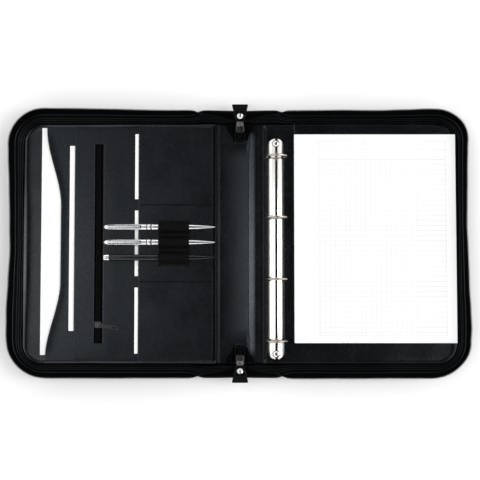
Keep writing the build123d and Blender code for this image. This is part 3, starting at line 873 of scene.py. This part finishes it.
def pleat_rows(sign):
    """The bunched cloth beside the zip end, spreading towards the wall; its dark cloth stands for the shade
    there.
    """
    rows = []
    for t in steps(0.0, 1.0, 0.1):
        half = mix(ZIP_HALF + 1.5, PLEAT_HALF, ease(t, 0.0, 1.0))
        y = mix(PLEAT_Y[0], PLEAT_Y[1], t)
        row = []
        for u in steps(-1.0, 1.0, 0.05):
            x = u * half
            fold = 0.45 * sin(abs(u) * 9.0 + t * 5.0) * ease(abs(u), 0.3, 0.7)
            under = 0.7 * (1 - ease(abs(x), ZIP_HALF - 1, ZIP_HALF + 3))
            z = lining_height(x, sign * y) + 0.75 + fold * 0.6 - under + 1.6 * t * t
            row.append(Vector((x, sign * y, z)))
        rows.append(row)
    return rows


def strip_rows(sign):
    """The zip end's tape on its slope, ridged beside the teeth."""
    rows = []
    for v in steps(-2.0, ZIP_END_LENGTH, 1.0):
        row = []
        for x in steps(-ZIP_HALF, ZIP_HALF, 1.0):
            dip = -0.35 * ease(abs(x), ZIP_HALF - 2.0, ZIP_HALF) + 0.25 * bump(abs(x), 3.6, 1.0)
            row.append(on_slope(sign, x, v, dip - 0.15))
        rows.append(row)
    return rows


for sign, word in ENDS:
    rows = [[joined_end_point(sign, x, h / 8) for h in range(9)] for x in steps(-SPINE_EDGE, SPINE_EDGE, 1.4)]
    rows = turn_face(rows, sign)
    stands = [f"{word}_end_gusset"]
    made = skinned(f"{word}_end_wall", rows, GUSSET_THICK, "gusset", "spine", stands)

    bead = Shape()
    bead.tube([p + Vector((0, sign * 0.5, 0)) for p in end_line(sign, 0.0)], BEADS[0], sides=10)
    bead.tube(end_line(sign, 1.0), BEADS[1], sides=10)
    piece(f"{word}_end_piping", bead, "edge", "spine")

    ribs = Shape()
    for h in RIBS:
        ribs.tube([p - Vector((0, sign * RIB_DEEP, 0)) for p in end_line(sign, h)], RIB_RADIUS)
    piece(f"{word}_end_ribs", ribs, "rib", "spine")

    # Real folds, but laid in the dark gusset cloth over the lining as painted shade beside the zip end.
    rows = turn_face(pleat_rows(sign), sign)
    made = skinned(f"{word}_end_pleats_painted_shade", rows, 0.35, "gusset", "spine")

    rows = turn_face(strip_rows(sign), sign)
    made = skinned(f"{word}_zip_strip", rows, 0.7, "tape", "spine", [f"{word}_zip_end"])

    teeth = Shape()
    way, out = one_way(SLOPE_WAY, sign), one_way(SLOPE_OUT, sign)
    for v in steps(1.4, 12.0, 1.2):
        for side in (LEFT, RIGHT):
            place = on_slope(sign, side * 2.1, v, 0.45)
            teeth.tooth(place, way, Vector((-side, 0, 0)), out, END_TOOTH)
    piece(f"{word}_zip_end_teeth", teeth, "teeth", "spine")

    tack = Shape()
    fold = [on_slope(sign, x, -1.6, 0.35) for x in steps(-ZIP_HALF - 0.6, ZIP_HALF + 0.6, 1.0)]
    tack.tube(fold, 1.3, sides=10, flat=0.6)
    piece(f"{word}_zip_hem", tack, "binding", "spine")
    tack = Shape()
    for v in (0.9, 2.6):
        across = [on_slope(sign, x, v, 0.1) for x in (-ZIP_HALF + 0.8, ZIP_HALF - 0.8)]
        tack.stitches(across, out, 2.0, 1.5, 0.2)
    for x in (-ZIP_HALF + 1.2, ZIP_HALF - 1.2):
        down = [on_slope(sign, x, v, 0.05) for v in (1.0, ZIP_END_LENGTH - 1)]
        tack.stitches(down, out, 2.6, 1.8, 0.2)
    piece(f"{word}_zip_stitches", tack, "thread", "spine")


# ---- the leather pull tabs ----
TAB_V = (27.6, 50.5)         # where a tab starts and ends, along the zip end's slope
TAB_HALF = (6.0, 10.5)       # half its width there
TAB_OUT = 5.0                # its middle's height over the slope
TAB_THICK = 2.2
TAB_CORNER = 1.0
TAB_RIDGES = 4


def tab_half(v):
    """Half the tab's width, along it, with its corners rounded off."""
    half = mix(*TAB_HALF, (v - TAB_V[0]) / (TAB_V[1] - TAB_V[0]))
    from_end = min(v - TAB_V[0], TAB_V[1] - v)
    if from_end < TAB_CORNER:
        half -= TAB_CORNER - sqrt(max(TAB_CORNER**2 - (TAB_CORNER - from_end) ** 2, 0.0))
    return half


for sign, word in ENDS:
    tab = Shape()
    rings = []
    profile = [(-1, 0.5), (-0.93, 0.85), (-0.8, 1.0), (0, 1.05), (0.8, 1.0), (0.93, 0.85), (1, 0.5)]
    around = profile + [(a, -b) for a, b in profile[::-1]]
    for v in steps(*TAB_V, 0.7):
        half = tab_half(v)
        end = min(1.0, 0.35 + min(v - TAB_V[0], TAB_V[1] - v) / 0.9)
        rings.append([on_slope(sign, a * half, v, TAB_OUT + b * end * TAB_THICK / 2) for a, b in around])
    base = len(tab.points)
    tab.lattice(rings, flip=sign > 0, ring=True)
    count = len(around)
    last = base + (len(rings) - 1) * count
    caps = [tuple(range(base, base + count)), tuple(range(last + count - 1, last - 1, -1))]
    tab.faces += caps if sign > 0 else [c[::-1] for c in caps]
    piece(f"{word}_leather_tab", tab, "tab", f"{word}_pull", [f"{word}_pull_tab"])

    rim = Shape()
    out = one_way(SLOPE_OUT, sign)
    for level in (-1, 1):
        line = []
        for v in steps(TAB_V[0] + 1.6, TAB_V[1] - 1.6, 1.0):
            line.append(on_slope(sign, -tab_half(v) + 1.5, v, TAB_OUT + level * TAB_THICK / 2))
        other = [Vector((-p.x, p.y, p.z)) for p in line[::-1]]
        rim.stitches(line + other, out * level, 2.2, 1.6, 0.2)
    piece(f"{word}_tab_stitches", rim, "thread", f"{word}_pull")

    ridges = Shape()
    for k in range(TAB_RIDGES):
        v = TAB_V[1] - 2.0 - 1.9 * k
        half = tab_half(v) - 0.5
        top = TAB_OUT + TAB_THICK / 2 + 0.1
        ridges.tube([on_slope(sign, x, v, top) for x in steps(-half, half, 2.0)], 0.6)
    piece(f"{word}_tab_ridges", ridges, "rib", f"{word}_pull")


# ---- the pockets ----
doc_low, doc_high = corners("document_pocket")
slip_low, slip_high = corners("slip_pocket")
card_low, card_high = corners("card_pocket")
slot_low, slot_high = corners("pocket_zip_tape")
coil_low, coil_high = corners("pocket_zip_chain")
PANEL_IN = doc_high.x
PANEL_HALF = doc_high.y
DOC_EDGE_MID = -234.0
DOC_FLAT_HALF, DOC_CURVE_HALF = 50.0, 150.0
DIVIDER_Y = 50.2             # the seams between the cards, either side of the middle
POCKET_THICK = 0.7
OPEN_HALF = 153              # half the length of the pockets' open edges
LIES_FLAT = (140, 154)       # past here the swollen panels lie flat again, towards the hems


def sewn(x, y, lowest):
    """How much a panel's edge drops to where it is sewn down."""
    raised = min(ease(PANEL_HALF - abs(y), 0.0, 3.2), ease(PANEL_IN - x, 0.0, 1.3))
    return -lowest * (1 - raised)


def mouth(y):
    """The document pocket's curved edge."""
    share = ease(abs(y), DOC_FLAT_HALF, DOC_CURVE_HALF)
    return mix(DOC_EDGE_MID, doc_low.x, share)


def pocket_sheet(name, left_edge, top, thickness, drop, rise, node_name):
    """A pocket panel from its open edge to the edge beside the spine."""
    across = [0.0, 0.004, 0.012] + [t / 40 for t in range(1, 40)] + [0.985, 0.992, 1.0]
    shares = [0.0, 0.004, 0.01] + [t / 90 for t in range(1, 90)] + [0.99, 0.996, 1.0]
    rows = []
    for u in across:
        row = []
        for t in shares:
            y = mix(-PANEL_HALF, PANEL_HALF, t)
            x = mix(left_edge(y), PANEL_IN, u)
            row.append(Vector((x, y, top + sewn(x, y, drop) + rise(x, y))))
        rows.append(row)
    made = skinned(name, rows, thickness, "pocket", "left_cover", [node_name])
    width = (PANEL_IN - left_edge(0)) * MM


def slotted_sheet():
    """The slip pocket's panel, left open where the zip crosses it."""
    slot_half = slot_high.y
    bands = [
        (slip_low.x, slot_low.x, -PANEL_HALF, PANEL_HALF),
        (slot_high.x, PANEL_IN, -PANEL_HALF, PANEL_HALF),
        (slot_low.x, slot_high.x, slot_half, PANEL_HALF),
        (slot_low.x, slot_high.x, -PANEL_HALF, -slot_half),
    ]
    shape = Shape()
    for x0, x1, y0, y1 in bands:
        rows = []
        for x in steps(x0, x1, 2.5):
            row = []
            for y in steps(y0, y1, 2.5):
                row.append(Vector((x, y, slip_high.z + sewn(x, y, 1.4) + slip_rise(x, y))))
            rows.append(row)
        shape.skin(rows, POCKET_THICK)
    made = piece("slip_pocket_panel", shape, "pocket", "left_cover", ["slip_pocket"])


def doc_edge_rise(x, y):
    """The document pocket's free edge curls up a little."""
    return 0.5 * (1 - ease(x - mouth(y), 0.0, 8.0)) * (1 - ease(abs(y), 130.0, 150.0))


def slip_rise(x, y):
    """The slip pocket swells unevenly towards its free edge."""
    swell = 0.5 + 0.5 * noise.noise(Vector((x / 40, y / 60, 3.1)))
    return 0.45 * (1 - ease(x, -176.0, -150.0)) * swell * (1 - ease(abs(y), *LIES_FLAT))


def card_rise(x, y):
    """The card pocket swells unevenly away from the pens."""
    swell = 0.5 + 0.5 * noise.noise(Vector((x / 35, y / 30, 9.4)))
    return 0.55 * ease(abs(y), 31.0, 44.0) * swell * (1 - ease(abs(y), *LIES_FLAT))


def slip_edge(y):
    return slip_low.x


def card_edge(y):
    return card_low.x


pocket_sheet("document_pocket_panel", mouth, doc_high.z, POCKET_THICK, 0.7, doc_edge_rise, "document_pocket")
slotted_sheet()
pocket_sheet("card_pocket_panel", card_edge, card_high.z, 0.55, 2.0, card_rise, "card_pocket")


def rolled_edge(shape, path, radius, flat):
    """A bound or folded edge: a rolled strip lying on its panel."""
    shape.tube(spaced(path, 3.0), radius, sides=10, flat=flat)


hems = Shape()
for sign in (-1, 1):
    y = sign * (PANEL_HALF - 0.4)
    line = []
    for x in steps(doc_low.x - 1.0, PANEL_IN + 1.0, 4.0):
        z = mix(doc_high.z, card_high.z, ease(x, -225, -130)) - 0.8
        line.append(Vector((x, y + rough(x, y, 0, 50, 0.3), z)))
    rolled_edge(hems, line, 1.7, 0.7)
# The hems take the lighter hem look: a painted highlight along them.
piece("pocket_binding_painted_highlight", hems, "hem", "left_cover")
inner_hem = Shape()
places = steps(-PANEL_HALF, PANEL_HALF, 4.0)
rolled_edge(inner_hem, run_y(PANEL_IN - 0.2, places, card_high.z - 0.65), 1.3, 0.7)
piece("pocket_inner_hem", inner_hem, "gusset", "left_cover")

folds = Shape()
FREE_EDGES = (
    (mouth, doc_high.z - 0.25, doc_edge_rise, 3.0, 0.55),
    (slip_edge, slip_high.z - 0.2, slip_rise, 4.0, 0.6),
    (card_edge, card_high.z - 0.2, card_rise, 4.0, 0.55),
)
for edge, z, rise, pitch, radius in FREE_EDGES:
    line = [Vector((edge(y) + 0.3, y, z + rise(edge(y), y))) for y in steps(-OPEN_HALF, OPEN_HALF, pitch)]
    rolled_edge(folds, line, radius, 0.8)
SLOT_Y = steps(slot_low.y, slot_high.y, 4.0)
for x in (slot_low.x - 0.2, slot_high.x + 0.5):
    rolled_edge(folds, [Vector((x, y, slip_high.z + slip_rise(x, y) - 0.1)) for y in SLOT_Y], 0.75, 0.8)
for y in (slot_low.y - 0.3, slot_high.y + 0.3):
    rolled_edge(folds, run_x(steps(slot_low.x, slot_high.x, 2.0), y, slip_high.z), 0.7, 0.8)
piece("pocket_folds", folds, "binding", "left_cover")

seam_shade_strips, sewing = Shape(), Shape()
for sign in (-1, 1):
    y = sign * (PANEL_HALF - 3.4)
    card_seam = (card_low.x + 3, PANEL_IN - 2, card_high.z)
    slip_seam = (slip_low.x + 3, card_low.x - 3, slip_high.z)
    for x0, x1, z in (card_seam, slip_seam):
        sewing.stitches(run_x((x0, x1), y, z + 0.05), UP)
    line = []
    for x in steps(card_low.x + 2, PANEL_IN - 2, 4):
        line.append(Vector((x, sign * DIVIDER_Y, card_high.z + card_rise(x, sign * DIVIDER_Y))))
    sewing.stitches(line, UP, *SEWN_SMALL)
    # A flat strip of the dark gusset cloth along each divider seam: painted shade in the seam's crease.
    seam_shade_strips.tube(line, 0.85, flat=0.2)
    y = sign * (slot_high.y + 3.0)
    places = (slot_low.x - 2.6, slot_high.x + 2.6)
    sewing.stitches(run_x(places, y, slip_high.z + 0.1), UP, *SEWN_SMALL)
for x in (slot_low.x - 2.6, slot_high.x + 2.9):
    line = [Vector((x, y, slip_high.z + slip_rise(x, y) + 0.05)) for y in SLOT_Y]
    sewing.stitches(line, UP, *SEWN_SMALL)
sewing.stitches(run_y(PANEL_IN - 2.6, (-PANEL_HALF + 4, PANEL_HALF - 4), card_high.z), UP)
piece("pocket_stitches", sewing, "thread", "left_cover")
# The dark seam strips are painted shade.
piece("pocket_seam_shade_strips", seam_shade_strips, "gusset", "left_cover")

# ---- the pocket's zip ----
rows = []
for x in steps(slot_low.x + 0.2, slot_high.x - 0.2, 0.6):
    z = slot_high.z - 0.05 * abs(x % 1.2)
    rows.append(run_y(x, steps(slot_low.y, slot_high.y, 3.0), z))
made = skinned("pocket_zip_cloth", rows, 0.35, "tape", "left_cover", ["pocket_zip_tape"])

coil = Shape()
mid_x = (coil_low.x + coil_high.x) / 2
for y in steps(coil_low.y + 1, coil_high.y - 1, 1.35):
    for side in (LEFT, RIGHT):
        start = Vector((mid_x + side * 2.3, y + side * 0.33, coil_low.z + 0.3))
        coil.tooth(start, Vector((0, 1, 0)), Vector((-side, 0, 0)), UP, COIL_TOOTH)
for side in (LEFT, RIGHT):
    edge = run_y(mid_x + side * 2.5, steps(coil_low.y, coil_high.y, 6.0), coil_low.z + 0.25)
    coil.tube(edge, 0.45, sides=6)
piece("pocket_zip_coil", coil, "teeth", "left_cover", ["pocket_zip_chain"])

# ---- the elastic pen loops ----
loop_low, loop_high = corners("pen_loops")
pen_places = []
for word in PENS:
    low, high = corners(f"{word}_pen_front")
    pen_places.append(((low.y + high.y) / 2, (low.z + high.z) / 2))
LOOP_RADIUS = loop_high.z - pen_places[0][1] - 0.15


def loop_profile():
    """The elastic band's line from one side to the other: up over each pen and down between."""
    foot, shoulder = loop_low.z + 0.9, loop_low.z + 1.8
    line = [(loop_high.y, foot)]
    for y, z in pen_places:
        line += [(y + LOOP_RADIUS + 1.4, foot), (y + LOOP_RADIUS + 0.2, shoulder)]
        line += [(y + LOOP_RADIUS * cos(pi * t / 14), z + LOOP_RADIUS * sin(pi * t / 14)) for t in range(15)]
        line += [(y - LOOP_RADIUS - 0.2, shoulder), (y - LOOP_RADIUS - 1.4, foot)]
    return line + [(loop_low.y, foot)]


rows = []
for x in steps(loop_high.x, loop_low.x, 1.0):
    edge = 0.18 * (1 - ease(min(x - loop_low.x, loop_high.x - x), 0.0, 1.6))
    rows.append([Vector((x, y, z - edge + 0.08 * (round(x) % 2))) for y, z in loop_profile()])
made = skinned("pen_loop_elastic", rows, 0.7, "elastic", "left_cover", ["pen_loops"], sharp=60)
spread = sum((Vector((0, *b)) - Vector((0, *a))).length for a, b in zip(loop_profile(), loop_profile()[1:]))
sewing = Shape()
gaps = [loop_high.y - 1.2, loop_low.y + 1.2] + [(a[0] + b[0]) / 2 for a, b in zip(pen_places, pen_places[1:])]
for gap in gaps:
    for y in (gap - 0.7, gap + 0.7):
        line = run_x((loop_low.x + 1, loop_high.x - 1), y, loop_low.z + 1.0)
        sewing.stitches(line, UP, 2.2, 1.6, 0.2)
piece("pen_loop_stitches", sewing, "thread", "left_cover")

# ---- bands and tail caps on the pens ----
def ring_band(shape, x0, x1, y, z, radius):
    """A raised band round a pen, with rounded shoulders."""
    lip = min(0.3, (x1 - x0) / 4)
    stations = [(x0, radius - 0.4), (x0, radius - 0.12), (x0 + lip, radius)]
    stations += [(x1 - lip, radius), (x1, radius - 0.12), (x1, radius - 0.4)]
    rings = []
    for x, r in stations:
        rings.append([Vector((x, y + r * cos(a * pi / 14), z + r * sin(a * pi / 14))) for a in range(28)])
    shape.lattice(rings, ring=True, flip=True)


def clip_shadow_strip(shape, x0, x1, y, z, radius):
    """A dark strip round the clip, curved over the barrel: a painted shadow of the gap under the clip."""
    angles = [radians(a) for a in range(60, 121, 6)]
    rows = []
    for x in steps(x0, x1, 2.0):
        rows.append([Vector((x, y + radius * cos(a), z + radius * sin(a))) for a in angles])
    shape.skin([row[::-1] for row in rows], 0.3)


for word, (y, z) in zip(PENS, pen_places):
    low, high = corners(f"{word}_pen_barrel")
    clip_from, clip_to = corners(f"{word}_pen_clip")
    radius = (high.y - low.y) / 2
    bands, grooves = Shape(), Shape()
    if word == "lower":
        ring_band(bands, low.x + 0.2, low.x + 7.0, y, z, radius + 0.12)
        bands.tube(run_x((low.x + 1.0, low.x + 6.6), y, clip_to.z - 1.3), 1.5, sides=12)
        ring_band(grooves, high.x - 2.0, high.x - 0.6, y, z, radius + 0.18)
    else:
        ring_band(bands, high.x - 2.0, high.x - 0.6, y, z, radius + 0.22)
        ring_band(bands, high.x - 7.6, high.x - 4.4, y, z, radius + 0.22)
        ring_band(grooves, high.x - 4.0, high.x - 2.2, y, z, radius + 0.12)
        ring_band(grooves, high.x - 9.2, high.x - 8.0, y, z, radius + 0.12)
        # A black strip round the clip: painted shadow.
        clip_shadow_strip(grooves, clip_from.x + 2.0, clip_to.x + 1.2, y, z, radius + 0.1)
    piece(f"{word}_pen_bands", bands, "silver_pen", f"{word}_pen")
    piece(f"{word}_pen_grooves", grooves, "black_pen", f"{word}_pen")

# ---- the pad's holder panel ----
hold_low, hold_high = corners("pad_holder")
HOLD_CORNER = 30.0
EDGE_ROUND = 0.9
SEAM_IN = 3.0                # from the panel's edge to its seam


def holder_top(x):
    """The panel's top edge, rounded off at the far corner."""
    over = x - (hold_high.x - HOLD_CORNER)
    if over <= 0:
        return hold_high.y
    return hold_high.y - HOLD_CORNER + sqrt(max(HOLD_CORNER**2 - over**2, 0.0))


rows = []
shares = [0.0, 0.0014, 0.004] + [t / 100 for t in range(1, 100)] + [0.996, 0.9986, 1.0]
inner = steps(hold_low.x + 1.2, hold_high.x - 1.2, 2.5)
for x in [hold_low.x, hold_low.x + 0.4] + inner + [hold_high.x - 0.4, hold_high.x]:
    top = holder_top(x)
    row = []
    for t in shares:
        y = mix(hold_low.y, top, t)
        near = min(x - hold_low.x, hold_high.x - x, y - hold_low.y, top - y)
        row.append(Vector((x, y, hold_high.z - EDGE_ROUND * (1 - ease(near, 0.0, 1.3)))))
    rows.append(row)
stands = ["pad_holder"]
made = skinned("pad_holder_panel", rows, 1.4, "lining", "right_cover", stands)
sewing = Shape()
x, z = hold_low.x + SEAM_IN, hold_high.z + 0.05
line = [Vector((x, hold_low.y + 4, z)), Vector((x, hold_high.y - SEAM_IN, z))]
line += [Vector((x, holder_top(x) - SEAM_IN, z)) for x in steps(hold_low.x + 4, hold_high.x - 6, 3.0)]
sewing.stitches(line, UP, *SEWN_SMALL)
for x in SEAM_X:
    sewing.stitches(run_y(x, SEAM_Y, LINING_TOP + 0.35), UP, 3.4, 2.4, 0.26)
piece("right_stitches", sewing, "thread", "right_cover")

# ---- the rims of the ring mechanism's rivets ----
rivet_low, rivet_high = corners("mechanism_rivets")
plate_low, plate_high = corners("ring_cover_plate")
plate_mid = (plate_low.x + plate_high.x) / 2
RIVET_HEAD = 3.9
RIM_RINGS = ((RIVET_HEAD + 0.3, plate_high.z - 0.1), (1.5, rivet_high.z - 0.1))  # radius and height
PLATE_ARCH = 26.0            # how the plate falls away from its middle: x squared over this
rims = Shape()
for y in (rivet_low.y + RIVET_HEAD, rivet_high.y - RIVET_HEAD):
    for radius, z in RIM_RINGS:
        circle = [(radius * cos(pi * k / 16), radius * sin(pi * k / 16)) for k in range(33)]
        line = [Vector((plate_mid + a, y + b, z - a * a / PLATE_ARCH)) for a, b in circle]
        rims.tube(line, 0.5, sides=6)
piece("rivet_rims", rims, "black_pen", "right_cover")

# ---- floor, light and camera ----
FLOOR_HALF, FLOOR_Z = 12.0, -0.0004      # metres
FLOOR_GREYS = ((0.95, 0.95, 0.95), (0.96, 0.96, 0.96))
CENTRE = (0, 0, 0)


def floor_look():
    """A nearly white floor, very faintly uneven."""
    look = Look("studio_floor", FLOOR_GREYS[0], 0.9, specular=0.1)
    look.paint(look.blend(look.noise(300.0, 2.0), *FLOOR_GREYS))
    return look.material


ground = bpy.data.meshes.new("studio_floor")
square = [(a * FLOOR_HALF, b * FLOOR_HALF, FLOOR_Z) for a, b in ((-1, -1), (1, -1), (1, 1), (-1, 1))]
ground.from_pydata(square, [], [(0, 1, 2, 3)])
ground.materials.append(floor_look())
studio = bpy.data.objects.new("studio_floor", ground)
bpy.context.scene.collection.objects.link(studio)


def soft_light(name, place, aim, size, power):
    """A rectangular soft light, in metres and watts."""
    lamp = bpy.data.lights.new(name, "AREA")
    lamp.shape = "RECTANGLE"
    lamp.size, lamp.size_y = size
    lamp.energy = power
    made = bpy.data.objects.new(name, lamp)
    made.location = place
    made.rotation_euler = (Vector(aim) - Vector(place)).to_track_quat("-Z", "Y").to_euler()
    bpy.context.scene.collection.objects.link(made)


soft_light("left_softbox", (-0.78, 0.0, 1.5), CENTRE, (0.45, 0.7), 2.2)
soft_light("right_softbox", (1.6, 0.0, 1.25), CENTRE, (0.45, 2.2), 17.0)

DARK_STRIP = (-9.0, 24.0)    # degrees from overhead, towards the right
DARK_FADE = 3.0
DARK_ABOVE = (0.58, 0.78)    # where the strip fades in, as the upward part of the view
WORLD_SIDES, WORLD_LOW = 0.95, 1.45      # the surround's strength: high up, and lower down
WORLD_TURN = (0.5, 0.75)     # where one changes to the other


def studio_world():
    """A white surround, with a dark strip over the camera between its two sides."""
    world = bpy.data.worlds.new("studio")
    bpy.context.scene.world = world
    nodes = Nodes(world)
    maths = nodes.maths

    def smooth(value, low, high):
        inputs = {"Value": value, "From Min": low, "From Max": high}
        return nodes.node("ShaderNodeMapRange", inputs, interpolation_type="SMOOTHSTEP").outputs["Result"]

    parts = nodes.parts(nodes.node("ShaderNodeTexCoord").outputs["Generated"])
    across = maths("DIVIDE", parts["X"], maths("MAXIMUM", parts["Z"], 0.1))
    left, right = (tan(radians(a)) for a in DARK_STRIP)
    fade = tan(radians(DARK_FADE))
    open_left = smooth(across, left - fade, left + fade)
    open_right = maths("SUBTRACT", 1.0, smooth(across, right - fade, right + fade))
    overhead = smooth(parts["Z"], *DARK_ABOVE)
    dark = maths("MULTIPLY", maths("MULTIPLY", open_left, open_right), overhead)
    low = maths("SUBTRACT", 1.0, smooth(parts["Z"], *WORLD_TURN))
    sides = maths("ADD", WORLD_SIDES, maths("MULTIPLY", low, WORLD_LOW - WORLD_SIDES))
    light = maths("SUBTRACT", sides, maths("MULTIPLY", dark, sides))
    surround = nodes.tree.nodes["Background"]
    surround.inputs["Color"].default_value = (1.0, 1.0, 1.0, 1)
    nodes.tree.links.new(light, surround.inputs["Strength"])


studio_world()
bpy.context.scene.view_settings.view_transform = "Standard"

CAMERA_PLACE = (0.0, -0.0544, 1.170)     # metres
CAMERA_AIM = Vector((0.0, 0.0046, 0.0))
lens = bpy.data.cameras.new("camera")
lens.lens = 66.9
lens.sensor_width = 36.0
lens.clip_start = 0.05
camera = bpy.data.objects.new("camera", lens)
camera.location = CAMERA_PLACE
camera.rotation_euler = (CAMERA_AIM - camera.location).to_track_quat("-Z", "Y").to_euler()
bpy.context.scene.collection.objects.link(camera)
bpy.context.scene.camera = camera
